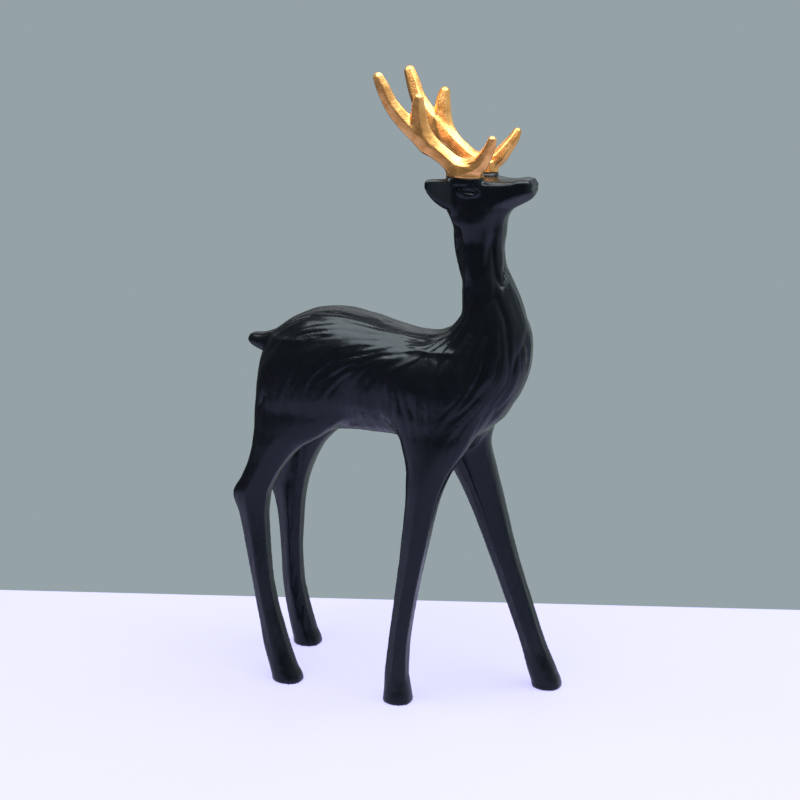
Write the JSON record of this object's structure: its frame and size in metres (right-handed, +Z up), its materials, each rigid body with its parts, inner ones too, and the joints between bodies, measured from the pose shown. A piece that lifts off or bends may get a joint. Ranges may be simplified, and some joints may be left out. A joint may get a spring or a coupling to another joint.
{
  "type": "stag figurine",
  "caption": "Slender standing stag figurine in black cast resin with fur-carved flanks and gold branched antlers, an ornament that stands on its hooves.",
  "frame": {"origin": "on the ground under the middle of the figure's bounding box", "axes": "+X the way the stag faces, +Y its left, +Z up"},
  "size_m": [0.149, 0.0551, 0.2866],
  "materials": {
    "black_resin": "satin black cast resin",
    "gold_paint": "satin gold paint on resin"
  },
  "bodies": {
    "root": {"body": "black_resin", "antler_right": "gold_paint", "antler_left": "gold_paint"}
  },
  "joints": []
}
